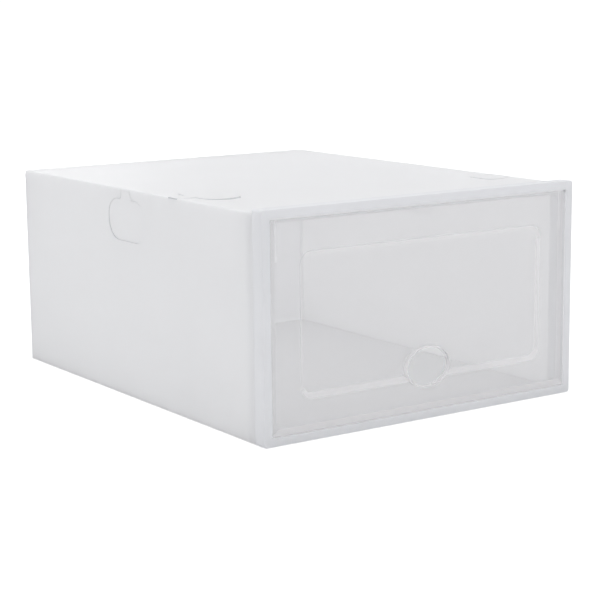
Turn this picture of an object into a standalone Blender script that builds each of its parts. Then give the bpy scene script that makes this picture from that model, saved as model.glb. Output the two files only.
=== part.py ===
"""Clear-front stacking shoe box, in metres, +Z up, front towards -Y.

A creased plastic sheet is folded into a rectangular tube and closed at the
back by a hinged panel, its tuck lip and two dust flaps. A moulded frame plugs
the front of the tube and carries a clear door on two pins near its top edge.
Keyhole-shaped tabs, cut from the sheet and hinged on its upper creases, fold
out to link neighbouring boxes. The origin is the centre of the footprint, on
the surface that the box stands on.
"""

import math
from collections import namedtuple

import bmesh
import bpy
from mathutils import Matrix, Vector

MM = 0.001

# A keyhole tab's outline: the neck widens from its root at the crease to the head
Keyhole = namedtuple("Keyhole", "root_width neck_width head_width head_length head_radius")

# Driving dimensions, in millimetres
FRAME_WIDTH = 230.0
FRAME_HEIGHT = 134.0
OVERALL_DEPTH = 297.0
SHEET = 0.7
GAP = 0.3

# Sheet tube: how far it stands inside the frame's outline
TUBE_SIDE_INSET = 0.6
TUBE_TOP_INSET = 2.2

# Front frame
BEZEL_DEPTH = 10.0
SIDE_BAR = 5.5
TOP_BAR = 5.0
BOTTOM_BAR = 5.2
CORNER_RADIUS = 1.6
LIP_FRONT = 2.4
LIP_THICKNESS = 1.6
WINDOW_SIDE_INSET = 9.8
WINDOW_TOP_INSET = 8.0
WINDOW_BOTTOM_INSET = 9.3
WINDOW_RADIUS = 3.5
SPIGOT_WALL = 1.5
SPIGOT_END = 17.0

# Door
DOOR_FRONT = 0.6
DOOR_THICKNESS = 1.2
DOOR_EDGE_GAP = 0.5
HINGE_HEIGHT = 127.3
HINGE_DEPTH = 1.4
HINGE_BEAD_RADIUS = 0.7
PIN_LENGTH = 2.6
SOCKET_CLEARANCE = 0.3
SLOT_WIDTH = 1.4
SLOT_LENGTH = 23.3
SPRING_ARM_WIDTH = 3.2
PANEL_SIDE_INSET = 25.2
PANEL_TOP = 109.1
PANEL_BOTTOM = 24.0
PANEL_RADIUS = 8.0
PANEL_PRESS = 2.0
PANEL_SLOPE = 3.5
HOLE_WIDTH = 31.8
HOLE_HEIGHT = 23.4
HOLE_CENTRE = 31.3
HOLE_OFFSET = 1.8
RIM_WALL = 0.9
RIM_FRONT = 0.3
RIM_BACK = 4.2

# Keyhole link tabs
LARGE_KEYHOLE = Keyhole(10.0, 14.0, 46.0, 26.0, 12.0)
SMALL_KEYHOLE = Keyhole(11.0, 13.0, 24.0, 16.0, 5.0)
WALL_TAB_NECK = 6.0
TOP_LEFT_TAB_NECK = 12.5
TOP_RIGHT_TAB_NECK = 4.5
WALL_TAB_DEPTH = 155.0
TOP_LEFT_TAB_DEPTH = 97.0
TOP_RIGHT_TAB_DEPTH = 64.5
CREASE_CLEARANCE = 0.15

# Back closure
TUCK_LIP_LENGTH = 12.0
TUCK_LIP_DROP = 0.9
TUCK_LIP_SIDE_INSET = 4.0
DUST_FLAP_LENGTH = 40.0
DUST_FLAP_TAPER = 3.0
SEAM_FLAP_WIDTH = 15.0

# Lengths that follow from the driving dimensions
HALF_WIDTH = FRAME_WIDTH / 2
TUBE_HALF = HALF_WIDTH - TUBE_SIDE_INSET
TUBE_TOP = FRAME_HEIGHT - TUBE_TOP_INSET
TUBE_FRONT = BEZEL_DEPTH + GAP
TUBE_INNER = TUBE_HALF - SHEET
TOP_UNDERSIDE = TUBE_TOP - SHEET
WALL_TOP = TOP_UNDERSIDE - GAP
WALL_BOTTOM = SHEET + GAP
BACK_INNER = OVERALL_DEPTH - SHEET
WALL_END = BACK_INNER - GAP
LIP_TOP = TOP_UNDERSIDE - TUCK_LIP_DROP
DOOR_HALF = HALF_WIDTH - SIDE_BAR - DOOR_EDGE_GAP
DOOR_BOTTOM = BOTTOM_BAR + DOOR_EDGE_GAP
DOOR_BACK = DOOR_FRONT + DOOR_THICKNESS
LIP_BACK = LIP_FRONT + LIP_THICKNESS
OVERSHOOT = 2.0

# The two sides, and the link tab that the top panel has at each
SIDE_NAMES = {-1: "left", 1: "right"}
TOP_TABS = {-1: (LARGE_KEYHOLE, TOP_LEFT_TAB_NECK, TOP_LEFT_TAB_DEPTH),
            1: (SMALL_KEYHOLE, TOP_RIGHT_TAB_NECK, TOP_RIGHT_TAB_DEPTH)}


def clear_scene():
    """Remove every object, so that the script can be run again."""
    for item in list(bpy.data.objects):
        bpy.data.objects.remove(item, do_unlink=True)
    for group in list(bpy.data.collections):
        bpy.data.collections.remove(group)


def make_collection(name):
    group = bpy.data.collections.new(name)
    bpy.context.scene.collection.children.link(group)
    return group


def make_material(name, colour, roughness, alpha=1.0):
    """A Principled material; none of the box's plastics is metallic."""
    material = bpy.data.materials.new(name)
    material.use_nodes = True
    shader = material.node_tree.nodes["Principled BSDF"]
    shader.inputs["Base Color"].default_value = (*colour, 1.0)
    shader.inputs["Roughness"].default_value = roughness
    shader.inputs["Metallic"].default_value = 0.0
    shader.inputs["Alpha"].default_value = alpha
    return material


def at_depth(distance):
    """World Y, in millimetres, of a plane this far behind the frame's face."""
    return distance - OVERALL_DEPTH / 2


def block(x, depth, z, radius=0.0, segments=4):
    """A box between pairs of limits, its four front-to-back edges rounded."""
    y = (at_depth(depth[0]), at_depth(depth[1]))
    bm = bmesh.new()
    bmesh.ops.create_cube(bm, size=1.0)
    size = Vector((x[1] - x[0], y[1] - y[0], z[1] - z[0]))
    centre = Vector((sum(x), sum(y), sum(z))) / 2
    bmesh.ops.scale(bm, verts=bm.verts, vec=size)
    bmesh.ops.translate(bm, verts=bm.verts, vec=centre)
    if radius > 0.0:
        edges = [edge for edge in bm.edges
                 if abs((edge.verts[0].co - edge.verts[1].co).y) > size.y / 2]
        bmesh.ops.bevel(bm, geom=edges, offset=radius, segments=segments,
                        profile=0.5, affect="EDGES")
    return bm


def taper_back(bm, depth, amount, centre_height):
    """Draw a block's rear face in by an amount on every side."""
    rear = [vertex for vertex in bm.verts if vertex.co.y > at_depth(depth)]
    half_x = max(abs(vertex.co.x) for vertex in rear)
    half_z = max(abs(vertex.co.z - centre_height) for vertex in rear)
    for vertex in rear:
        vertex.co.x *= (half_x - amount) / half_x
        offset = vertex.co.z - centre_height
        vertex.co.z = centre_height + offset * (half_z - amount) / half_z
    return bm


def oval(width, height, centre, depth, segments=40):
    """An oval cylinder along Y, centred on an x and a height."""
    bm = bmesh.new()
    length = depth[1] - depth[0]
    bmesh.ops.create_cone(bm, cap_ends=True, segments=segments, radius1=0.5,
                          radius2=0.5, depth=length)
    bmesh.ops.rotate(bm, verts=bm.verts, matrix=Matrix.Rotation(math.pi / 2, 3, "X"))
    bmesh.ops.scale(bm, verts=bm.verts, vec=(width, 1.0, height))
    middle = at_depth(sum(depth) / 2)
    bmesh.ops.translate(bm, verts=bm.verts, vec=(centre[0], middle, centre[1]))
    return bm


def rod(radius, x, depth, height, segments=16):
    """A cylinder along X between two limits."""
    bm = bmesh.new()
    bmesh.ops.create_cone(bm, cap_ends=True, segments=segments, radius1=radius,
                          radius2=radius, depth=x[1] - x[0])
    bmesh.ops.rotate(bm, verts=bm.verts, matrix=Matrix.Rotation(math.pi / 2, 3, "Y"))
    bmesh.ops.translate(bm, verts=bm.verts,
                        vec=(sum(x) / 2, at_depth(depth), height))
    return bm


def finish(name, bm, material, group, pivot=(0.0, 0.0, 0.0)):
    """Turn a bmesh in millimetres into an object with its origin at a pivot."""
    bmesh.ops.translate(bm, verts=bm.verts, vec=-Vector(pivot))
    bmesh.ops.scale(bm, verts=bm.verts, vec=(MM, MM, MM))
    bmesh.ops.recalc_face_normals(bm, faces=bm.faces)
    mesh = bpy.data.meshes.new(name)
    bm.to_mesh(mesh)
    bm.free()
    mesh.shade_smooth()
    mesh.set_sharp_from_angle(angle=math.radians(30.0))
    if material is not None:
        mesh.materials.append(material)
    part = bpy.data.objects.new(name, mesh)
    part.location = Vector(pivot) * MM
    group.objects.link(part)
    return part


def tool(name, bm, tools):
    """An object that only cuts or joins another, and is not part of the box."""
    item = finish(name, bm, None, tools)
    item.hide_render = True
    item.display_type = "WIRE"
    return item


def combine(part, item, operation):
    modifier = part.modifiers.new(item.name, "BOOLEAN")
    modifier.operation = operation
    modifier.solver = "EXACT"
    modifier.object = item


def quarter_arc(centre, radius, start_angle, steps=6):
    """Points along a quarter circle, counter-clockwise."""
    points = []
    for step in range(steps + 1):
        angle = math.radians(start_angle + 90.0 * step / steps)
        points.append((centre[0] + radius * math.cos(angle),
                       centre[1] + radius * math.sin(angle)))
    return points


def keyhole_outline(shape, neck_length, start, grow=0.0):
    """A keyhole's points: u runs along the crease, v away from it."""
    flare = (shape.neck_width - shape.root_width) / 2 / neck_length
    half_start = shape.root_width / 2 + flare * start + grow
    half_neck = shape.neck_width / 2 + grow
    radius = shape.head_radius + grow
    centre_u = shape.head_width / 2 - shape.head_radius
    near_v = neck_length + shape.head_radius
    far_v = neck_length + shape.head_length - shape.head_radius
    points = [(half_start, start), (half_neck, neck_length - grow)]
    points += quarter_arc((centre_u, near_v), radius, -90.0)
    points += quarter_arc((centre_u, far_v), radius, 0.0)
    points += quarter_arc((-centre_u, far_v), radius, 90.0)
    points += quarter_arc((-centre_u, near_v), radius, 180.0)
    points += [(-half_neck, neck_length - grow), (-half_start, start)]
    return points


def flat_solid(points, thickness, placement):
    """A flat outline given a thickness, then turned and moved into place."""
    curve = bpy.data.curves.new("outline", "CURVE")
    curve.dimensions = "2D"
    curve.fill_mode = "BOTH"
    curve.extrude = thickness / 2
    spline = curve.splines.new("POLY")
    spline.points.add(len(points) - 1)
    for point, (u, v) in zip(spline.points, points):
        point.co = (u, v, 0.0, 1.0)
    spline.use_cyclic_u = True
    holder = bpy.data.objects.new("outline", curve)
    bpy.context.scene.collection.objects.link(holder)
    graph = bpy.context.evaluated_depsgraph_get()
    mesh = bpy.data.meshes.new_from_object(holder.evaluated_get(graph))
    bm = bmesh.new()
    bm.from_mesh(mesh)
    bmesh.ops.remove_doubles(bm, verts=bm.verts, dist=0.001)
    bmesh.ops.transform(bm, verts=bm.verts, matrix=placement)
    bpy.data.meshes.remove(mesh)
    bpy.data.objects.remove(holder, do_unlink=True)
    bpy.data.curves.remove(curve)
    return bm


def placement(u_axis, v_axis, position):
    """A matrix that lays an outline's u and v along two world axes."""
    n_axis = Vector(u_axis).cross(Vector(v_axis))
    matrix = Matrix((u_axis, v_axis, n_axis)).transposed().to_4x4()
    matrix.translation = Vector(position)
    return matrix


def build_front_frame(parts, tools, material):
    """One moulding: bezel, inner lip, pin sockets and rear spigot."""
    frame = finish("front_frame",
                   block((-HALF_WIDTH, HALF_WIDTH), (0.0, BEZEL_DEPTH),
                         (0.0, FRAME_HEIGHT), CORNER_RADIUS),
                   material, parts)
    spigot_half = TUBE_INNER - GAP
    spigot_bottom = WALL_BOTTOM
    spigot_top = TOP_UNDERSIDE - GAP
    spigot = block((-spigot_half, spigot_half), (LIP_BACK, SPIGOT_END),
                   (spigot_bottom, spigot_top))
    combine(frame, tool("spigot", spigot, tools), "UNION")

    bore = block((SPIGOT_WALL - spigot_half, spigot_half - SPIGOT_WALL),
                 (LIP_BACK, SPIGOT_END + OVERSHOOT),
                 (spigot_bottom + SPIGOT_WALL, spigot_top - SPIGOT_WALL))
    combine(frame, tool("spigot_bore", bore, tools), "DIFFERENCE")

    recess_half = HALF_WIDTH - SIDE_BAR
    recess = block((-recess_half, recess_half), (-OVERSHOOT, LIP_FRONT),
                   (BOTTOM_BAR, FRAME_HEIGHT - TOP_BAR))
    combine(frame, tool("door_recess", recess, tools), "DIFFERENCE")

    window_half = HALF_WIDTH - WINDOW_SIDE_INSET
    window = block((-window_half, window_half), (0.0, LIP_BACK + OVERSHOOT),
                   (WINDOW_BOTTOM_INSET, FRAME_HEIGHT - WINDOW_TOP_INSET),
                   WINDOW_RADIUS)
    combine(frame, tool("window", window, tools), "DIFFERENCE")

    reach = DOOR_HALF + PIN_LENGTH + SOCKET_CLEARANCE
    sockets = rod(HINGE_BEAD_RADIUS + SOCKET_CLEARANCE, (-reach, reach),
                  HINGE_DEPTH, HINGE_HEIGHT)
    combine(frame, tool("pin_sockets", sockets, tools), "DIFFERENCE")
    return frame


def build_door(parts, tools, material):
    """Clear moulding with its hinge bead, pins, pressed panel and finger hole."""
    pivot = (0.0, at_depth(HINGE_DEPTH), HINGE_HEIGHT)
    plate = block((-DOOR_HALF, DOOR_HALF), (DOOR_FRONT, DOOR_BACK),
                  (DOOR_BOTTOM, HINGE_HEIGHT))
    door = finish("door", plate, material, parts, pivot)

    reach = DOOR_HALF + PIN_LENGTH
    bead = rod(HINGE_BEAD_RADIUS, (-reach, reach), HINGE_DEPTH, HINGE_HEIGHT)
    combine(door, tool("hinge_bead", bead, tools), "UNION")

    half = HALF_WIDTH - PANEL_SIDE_INSET
    wall = DOOR_THICKNESS
    middle = (PANEL_TOP + PANEL_BOTTOM) / 2
    floor_back = DOOR_BACK + PANEL_PRESS
    outside = block((-half - wall, half + wall), (DOOR_FRONT + wall / 2, floor_back),
                    (PANEL_BOTTOM - wall, PANEL_TOP + wall), PANEL_RADIUS + wall, 6)
    taper_back(outside, DOOR_BACK, PANEL_SLOPE, middle)
    combine(door, tool("panel_outside", outside, tools), "UNION")

    hole_centre = (HOLE_OFFSET, HOLE_CENTRE)
    rim = oval(HOLE_WIDTH + 2 * RIM_WALL, HOLE_HEIGHT + 2 * RIM_WALL, hole_centre,
               (RIM_FRONT, RIM_BACK))
    spread = PANEL_SLOPE * wall / PANEL_PRESS
    inside = block((-half - spread, half + spread),
                   (DOOR_FRONT - wall, DOOR_FRONT + PANEL_PRESS),
                   (PANEL_BOTTOM - spread, PANEL_TOP + spread), PANEL_RADIUS + spread, 6)
    taper_back(inside, DOOR_FRONT, PANEL_SLOPE + spread, middle)
    combine(door, tool("panel_inside", inside, tools), "DIFFERENCE")
    combine(door, tool("finger_rim", rim, tools), "UNION")
    hole = oval(HOLE_WIDTH, HOLE_HEIGHT, hole_centre,
                (RIM_FRONT - OVERSHOOT, RIM_BACK + OVERSHOOT))
    combine(door, tool("finger_hole", hole, tools), "DIFFERENCE")

    slot_outer = DOOR_HALF - SPRING_ARM_WIDTH
    for side, name in ((-1, "left_arm_slot"), (1, "right_arm_slot")):
        x = sorted((side * slot_outer, side * (slot_outer - SLOT_WIDTH)))
        slot = block(x, (0.0, DOOR_BACK + OVERSHOOT),
                     (HINGE_HEIGHT - SLOT_LENGTH, HINGE_HEIGHT + OVERSHOOT))
        combine(door, tool(name, slot, tools), "DIFFERENCE")
    return door


def wall_tab_placement(side):
    """The upper crease of a side wall, with v running down the wall."""
    return placement((0.0, 1.0, 0.0), (0.0, 0.0, -1.0),
                     (side * (TUBE_HALF - SHEET / 2), at_depth(WALL_TAB_DEPTH),
                      WALL_TOP + CREASE_CLEARANCE))


def top_tab_placement(side, depth):
    """A side crease of the top panel, with v running inwards."""
    return placement((0.0, 1.0, 0.0), (-side, 0.0, 0.0),
                     (side * TUBE_HALF, at_depth(depth), TUBE_TOP - SHEET / 2))


def build_side_wall(side, parts, tools, material):
    """A side wall with the keyhole that its link tab leaves."""
    name = SIDE_NAMES[side] + "_wall"
    x = sorted((side * TUBE_HALF, side * TUBE_INNER))
    wall = finish(name, block(x, (TUBE_FRONT, WALL_END), (WALL_BOTTOM, WALL_TOP)),
                  material, parts)
    hole = flat_solid(keyhole_outline(LARGE_KEYHOLE, WALL_TAB_NECK, -OVERSHOOT, GAP),
                      4 * SHEET, wall_tab_placement(side))
    combine(wall, tool(name + "_keyhole", hole, tools), "DIFFERENCE")
    return wall


def build_wall_tab(side, parts, material):
    """A link tab in a side wall, hinged on the upper crease."""
    pivot = (side * TUBE_HALF, at_depth(WALL_TAB_DEPTH), WALL_TOP + CREASE_CLEARANCE)
    tab = flat_solid(keyhole_outline(LARGE_KEYHOLE, WALL_TAB_NECK, CREASE_CLEARANCE),
                     SHEET, wall_tab_placement(side))
    return finish(SIDE_NAMES[side] + "_wall_tab", tab, material, parts, pivot)


def build_top_panel(parts, tools, material):
    """The top panel with a keyhole at each side crease."""
    panel = finish("top_panel",
                   block((-TUBE_HALF, TUBE_HALF), (TUBE_FRONT, OVERALL_DEPTH),
                         (TOP_UNDERSIDE, TUBE_TOP)), material, parts)
    for side, (shape, neck, depth) in TOP_TABS.items():
        hole = flat_solid(keyhole_outline(shape, neck, -OVERSHOOT, GAP), 4 * SHEET,
                          top_tab_placement(side, depth))
        combine(panel, tool(f"{SIDE_NAMES[side]}_top_keyhole", hole, tools), "DIFFERENCE")
    return panel


def build_top_tab(side, parts, material):
    """A link tab in the top panel, hinged on a side crease."""
    shape, neck, depth = TOP_TABS[side]
    pivot = (side * TUBE_HALF, at_depth(depth), TUBE_TOP)
    tab = flat_solid(keyhole_outline(shape, neck, CREASE_CLEARANCE), SHEET,
                     top_tab_placement(side, depth))
    return finish(f"top_{SIDE_NAMES[side]}_tab", tab, material, parts, pivot)


def build_bottom_panel(parts, material):
    return finish("bottom_panel",
                  block((-TUBE_HALF, TUBE_HALF), (TUBE_FRONT, WALL_END), (0.0, SHEET)),
                  material, parts)


def build_seam_flap(parts, material):
    """The flap bent in from the left wall and welded to the bottom panel."""
    inner = GAP - TUBE_INNER
    return finish("seam_flap",
                  block((inner, inner + SEAM_FLAP_WIDTH),
                        (SPIGOT_END + GAP, WALL_END - OVERSHOOT),
                        (WALL_BOTTOM, WALL_BOTTOM + SHEET)), material, parts)


def build_back_panel(parts, material):
    """The panel hinged on the bottom's rear crease."""
    pivot = (0.0, at_depth(OVERALL_DEPTH), 0.0)
    half = TUBE_HALF - CREASE_CLEARANCE
    return finish("back_panel",
                  block((-half, half), (BACK_INNER, OVERALL_DEPTH), (0.0, LIP_TOP)),
                  material, parts, pivot)


def build_tuck_lip(parts, material):
    """The edge folded forward from the back panel, its front corners cut off."""
    half = TUBE_HALF - TUCK_LIP_SIDE_INSET
    front = WALL_END - TUCK_LIP_LENGTH
    points = [(-half, WALL_END), (-half, front + TUCK_LIP_LENGTH / 2),
              (TUCK_LIP_LENGTH / 2 - half, front), (half - TUCK_LIP_LENGTH / 2, front),
              (half, front + TUCK_LIP_LENGTH / 2), (half, WALL_END)]
    lip = flat_solid(points, SHEET,
                     placement((1.0, 0.0, 0.0), (0.0, 1.0, 0.0),
                               (0.0, at_depth(0.0), LIP_TOP - SHEET / 2)))
    pivot = (0.0, at_depth(OVERALL_DEPTH), 0.0)
    return finish("tuck_lip", lip, material, parts, pivot)


def build_dust_flap(side, parts, material):
    """A side flap behind the back panel, tapered towards its free edge."""
    bottom = WALL_BOTTOM + SHEET + 0.5
    top = LIP_TOP - SHEET - GAP
    points = [(0.0, bottom), (DUST_FLAP_LENGTH, bottom + DUST_FLAP_TAPER),
              (DUST_FLAP_LENGTH, top - DUST_FLAP_TAPER), (0.0, top)]
    edge = side * (TUBE_INNER - GAP)
    flap = flat_solid(points, SHEET,
                      placement((-side, 0.0, 0.0), (0.0, 0.0, 1.0),
                                (edge, at_depth(WALL_END - SHEET / 2), 0.0)))
    pivot = (side * (TUBE_INNER - CREASE_CLEARANCE), at_depth(WALL_END - SHEET), 0.0)
    return finish(SIDE_NAMES[side] + "_dust_flap", flap, material, parts, pivot)


def build():
    clear_scene()
    parts = make_collection("shoe_box")
    tools = make_collection("cutters")
    sheet = make_material("milky_sheet", (0.80, 0.80, 0.82), 0.45)
    moulded = make_material("moulded_frame", (0.72, 0.74, 0.79), 0.35)
    clear = make_material("clear_door", (0.80, 0.81, 0.83), 0.15, alpha=0.35)

    build_front_frame(parts, tools, moulded)
    build_door(parts, tools, clear)
    build_bottom_panel(parts, sheet)
    build_top_panel(parts, tools, sheet)
    build_seam_flap(parts, sheet)
    for side in (-1, 1):
        build_side_wall(side, parts, tools, sheet)
        build_wall_tab(side, parts, sheet)
        build_top_tab(side, parts, sheet)
        build_dust_flap(side, parts, sheet)
    build_back_panel(parts, sheet)
    build_tuck_lip(parts, sheet)


build()
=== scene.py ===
"""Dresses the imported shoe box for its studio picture.

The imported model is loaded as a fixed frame. The folded sheet, the moulded front
frame, the clear door, the keyhole tabs and the back closure are modelled here
with rounded creases, bows and springy lifts that the plain solids leave out, and
each rides on the body of the node that it stands for. Sizes are in millimetres
until a mesh is committed, and depths are measured back from the frame's face.
"""

import logging
import math
from dataclasses import dataclass, field
from enum import Enum

import bmesh
import bpy
from mathutils import Matrix, Vector


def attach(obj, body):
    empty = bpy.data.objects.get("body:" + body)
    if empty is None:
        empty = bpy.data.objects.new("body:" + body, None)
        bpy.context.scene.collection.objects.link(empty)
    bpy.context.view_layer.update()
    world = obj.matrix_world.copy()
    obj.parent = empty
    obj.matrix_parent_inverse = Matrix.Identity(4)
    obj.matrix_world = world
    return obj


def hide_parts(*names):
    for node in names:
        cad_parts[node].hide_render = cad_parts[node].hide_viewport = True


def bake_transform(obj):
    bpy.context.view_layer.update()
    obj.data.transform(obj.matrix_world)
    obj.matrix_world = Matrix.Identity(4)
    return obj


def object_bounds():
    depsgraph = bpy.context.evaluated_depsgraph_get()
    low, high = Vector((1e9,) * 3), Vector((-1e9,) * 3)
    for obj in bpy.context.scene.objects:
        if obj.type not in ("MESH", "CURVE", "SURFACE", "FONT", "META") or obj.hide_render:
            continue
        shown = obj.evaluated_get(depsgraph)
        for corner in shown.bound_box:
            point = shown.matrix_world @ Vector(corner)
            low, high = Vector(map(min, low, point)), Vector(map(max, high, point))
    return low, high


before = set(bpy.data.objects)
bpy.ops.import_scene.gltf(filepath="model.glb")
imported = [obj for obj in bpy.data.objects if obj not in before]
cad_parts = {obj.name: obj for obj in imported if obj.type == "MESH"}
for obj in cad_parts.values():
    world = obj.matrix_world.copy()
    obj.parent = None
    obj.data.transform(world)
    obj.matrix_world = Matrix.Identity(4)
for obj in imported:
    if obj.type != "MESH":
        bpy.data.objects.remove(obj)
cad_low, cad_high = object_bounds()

log = logging.getLogger("shoe_box")

MM = 0.001
TOLERANCE = 0.01
SMOOTH_ANGLE = 30.0
FRONT_Y = cad_low.y / MM
DEPTH = (cad_high.y - cad_low.y) / MM
HALF_WIDTH = cad_high.x / MM
HEIGHT = cad_high.z / MM

WIDTHWAYS = Vector((1.0, 0.0, 0.0))
DEPTHWAYS = Vector((0.0, 1.0, 0.0))
UPWARDS = Vector((0.0, 0.0, 1.0))

Colour = tuple[float, float, float]
Socket = bpy.types.NodeSocket


class Slot(Enum):
    """The record's material slots."""

    SHEET = "milky_sheet"
    FRAME = "moulded_frame"
    DOOR = "clear_door"


class Side(Enum):
    """The two sides of the box, seen from the front."""

    LEFT = -1
    RIGHT = 1

    @property
    def word(self) -> str:
        """The side's name, as the nodes spell it."""
        return self.name.lower()


# ----------------------------------------------------------------- materials


class NodeGraph:
    """A shader node tree, with short calls to add and join nodes."""

    def __init__(self, owner: bpy.types.Material | bpy.types.World) -> None:
        """Start an empty tree for a material or for the world."""
        owner.use_nodes = True
        self.owner = owner
        self.tree = owner.node_tree
        self.tree.nodes.clear()
        kind = "World" if isinstance(owner, bpy.types.World) else "Material"
        self.output = self.tree.nodes.new("ShaderNodeOutput" + kind)
        coordinates = self.tree.nodes.new("ShaderNodeTexCoord")
        self.place = coordinates.outputs["Object"]
        self.direction = coordinates.outputs["Generated"]

    def feed(self, socket: Socket, value: object) -> None:
        """Link a socket to another one, or set its value."""
        if isinstance(value, bpy.types.NodeSocket):
            self.tree.links.new(value, socket)
        else:
            socket.default_value = value

    def add(self, kind: str, settings: dict | None = None,
            **sockets: object) -> bpy.types.Node:
        """Add a node.

        Args:
            kind: The node's type name without its ShaderNode prefix.
            settings: Properties of the node itself.
            **sockets: Input values or links, with spaces written as underscores.

        Returns:
            The new node.
        """
        node = self.tree.nodes.new("ShaderNode" + kind)
        for key, value in (settings or {}).items():
            setattr(node, key, value)
        for key, value in sockets.items():
            self.feed(node.inputs[key.replace("_", " ")], value)
        return node

    def noise(self, scale: float, detail: float, roughness: float = 0.5) -> Socket:
        """A noise pattern on the piece's own coordinates."""
        node = self.add("TexNoise", Vector=self.place, Scale=scale, Detail=detail,
                        Roughness=roughness)
        return node.outputs[0]

    def ranged(self, value: Socket, low: float, high: float) -> Socket:
        """Map a pattern's middle stretch onto a range."""
        node = self.add("MapRange", Value=value, From_Min=0.3, From_Max=0.7,
                        To_Min=low, To_Max=high)
        return node.outputs[0]

    def blend(self, factor: Socket, first: Colour, second: Colour) -> Socket:
        """A colour between two, by a factor."""
        ramp = self.add("ValToRGB", Fac=factor)
        ramp.color_ramp.elements[0].color = (*first, 1.0)
        ramp.color_ramp.elements[1].color = (*second, 1.0)
        return ramp.outputs["Color"]

    def attribute(self, name: str) -> Socket:
        """A named attribute of the piece."""
        return self.add("Attribute", {"attribute_name": name}).outputs["Fac"]

    def bump(self, height: Socket, strength: float, distance: float) -> Socket:
        """A normal that follows a height pattern."""
        node = self.add("Bump", Height=height, Strength=strength, Distance=distance)
        return node.outputs["Normal"]

    def math(self, operation: str, *values: Socket | float) -> Socket:
        """The result of a sum on sockets and numbers."""
        node = self.add("Math", {"operation": operation})
        for socket, value in zip(node.inputs, values):
            self.feed(socket, value)
        return node.outputs[0]

    def dot(self, first: Socket, second: tuple) -> Socket:
        """How far one vector points along another, fixed one."""
        node = self.add("VectorMath", {"operation": "DOT_PRODUCT"})
        self.feed(node.inputs[0], first)
        self.feed(node.inputs[1], second)
        return node.outputs["Value"]

    def mix(self, factor: Socket | float, first: Socket, second: Socket) -> Socket:
        """A mix of two shaders, the second one at a factor of 1."""
        node = self.add("MixShader", Fac=factor)
        self.feed(node.inputs[1], first)
        self.feed(node.inputs[2], second)
        return node.outputs[0]

    def finish(self, shader: Socket) -> bpy.types.Material | bpy.types.World:
        """Join the last shader to the output and return the tree's owner."""
        self.tree.links.new(shader, self.output.inputs["Surface"])
        return self.owner


@dataclass(frozen=True)
class PlasticFinish:
    """Satin plastic that scatters part of the light back and lets the rest through."""

    name: str
    first_colour: Colour
    second_colour: Colour
    glow_colour: Colour
    translucency: float
    cloud_scale: float = 26.0
    smoothest: float = 0.38
    roughest: float = 0.50
    shine_scale: float = 90.0
    grain_scale: float = 700.0
    grain: float = 0.04
    grain_depth: float = 0.0001
    refraction: float = 1.49

    def material(self) -> bpy.types.Material:
        """Build the finish as a skin mixed with light from behind it."""
        graph = NodeGraph(bpy.data.materials.new(self.name))
        clouds = graph.ranged(graph.noise(self.cloud_scale, 3.0), 0.0, 1.0)
        colour = graph.blend(clouds, self.first_colour, self.second_colour)
        shine = graph.ranged(graph.noise(self.shine_scale, 4.0), self.smoothest,
                             self.roughest)
        grain = graph.noise(self.grain_scale, 2.0, 0.6)
        normal = graph.bump(grain, self.grain, self.grain_depth)
        skin = graph.add("BsdfPrincipled", Base_Color=colour, Roughness=shine,
                         Normal=normal, IOR=self.refraction)
        glow = graph.add("BsdfTranslucent", Color=(*self.glow_colour, 1.0),
                         Normal=normal)
        return graph.finish(graph.mix(self.translucency, skin.outputs[0],
                                      glow.outputs[0]))


SHEET_FINISH = PlasticFinish(
    "milky_sheet_finish", first_colour=(0.915, 0.916, 0.920),
    second_colour=(0.940, 0.941, 0.945), glow_colour=(0.965, 0.966, 0.970),
    translucency=0.64)
# The bottom panel's finish: less see-through where it lies on the floor, and paler,
# painted light for what the floor sends back up.
BACKED_LIT_FINISH = PlasticFinish(
    "backed_sheet_painted_light_finish", first_colour=(0.955, 0.956, 0.960),
    second_colour=(0.970, 0.971, 0.975), glow_colour=(0.965, 0.966, 0.970),
    translucency=0.12)
FLAP_FINISH = PlasticFinish(
    "dust_flap_finish", first_colour=(0.915, 0.916, 0.920),
    second_colour=(0.940, 0.941, 0.945), glow_colour=(0.975, 0.976, 0.980),
    translucency=0.86)
# Cut edges: greyer than the sheet, partly their own look and partly painted shade of the
# gaps round the tabs.
CUT_EDGE_SHADE_FINISH = PlasticFinish(
    "cut_sheet_edge_painted_shade_finish", first_colour=(0.64, 0.645, 0.66),
    second_colour=(0.72, 0.725, 0.74), glow_colour=(0.74, 0.75, 0.77),
    translucency=0.30, cloud_scale=60.0, smoothest=0.50, roughest=0.60, grain=0.06)
FRAME_FINISH = PlasticFinish(
    "moulded_frame_finish", first_colour=(0.838, 0.843, 0.861),
    second_colour=(0.864, 0.869, 0.886), glow_colour=(0.930, 0.935, 0.948),
    translucency=0.36, cloud_scale=34.0, smoothest=0.30, roughest=0.42, grain=0.05)
# The thin walls of the recess and spigot let more light through than the bars, and their
# paler colour is painted light in the shaded recess and spigot.
THIN_LIT_FINISH = PlasticFinish(
    "thin_frame_wall_painted_light_finish", first_colour=(0.935, 0.938, 0.944),
    second_colour=(0.950, 0.953, 0.958), glow_colour=(0.975, 0.978, 0.984),
    translucency=0.72, cloud_scale=34.0, smoothest=0.34, roughest=0.46)
# The lip's front behind the door: a paler, less see-through copy, painted light in the
# recess's shade.
LIT_LIP_FINISH = PlasticFinish(
    "frame_lip_painted_light_finish", first_colour=(0.955, 0.956, 0.960),
    second_colour=(0.970, 0.971, 0.975), glow_colour=(0.975, 0.978, 0.984),
    translucency=0.20, cloud_scale=34.0, smoothest=0.34, roughest=0.46)


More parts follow.
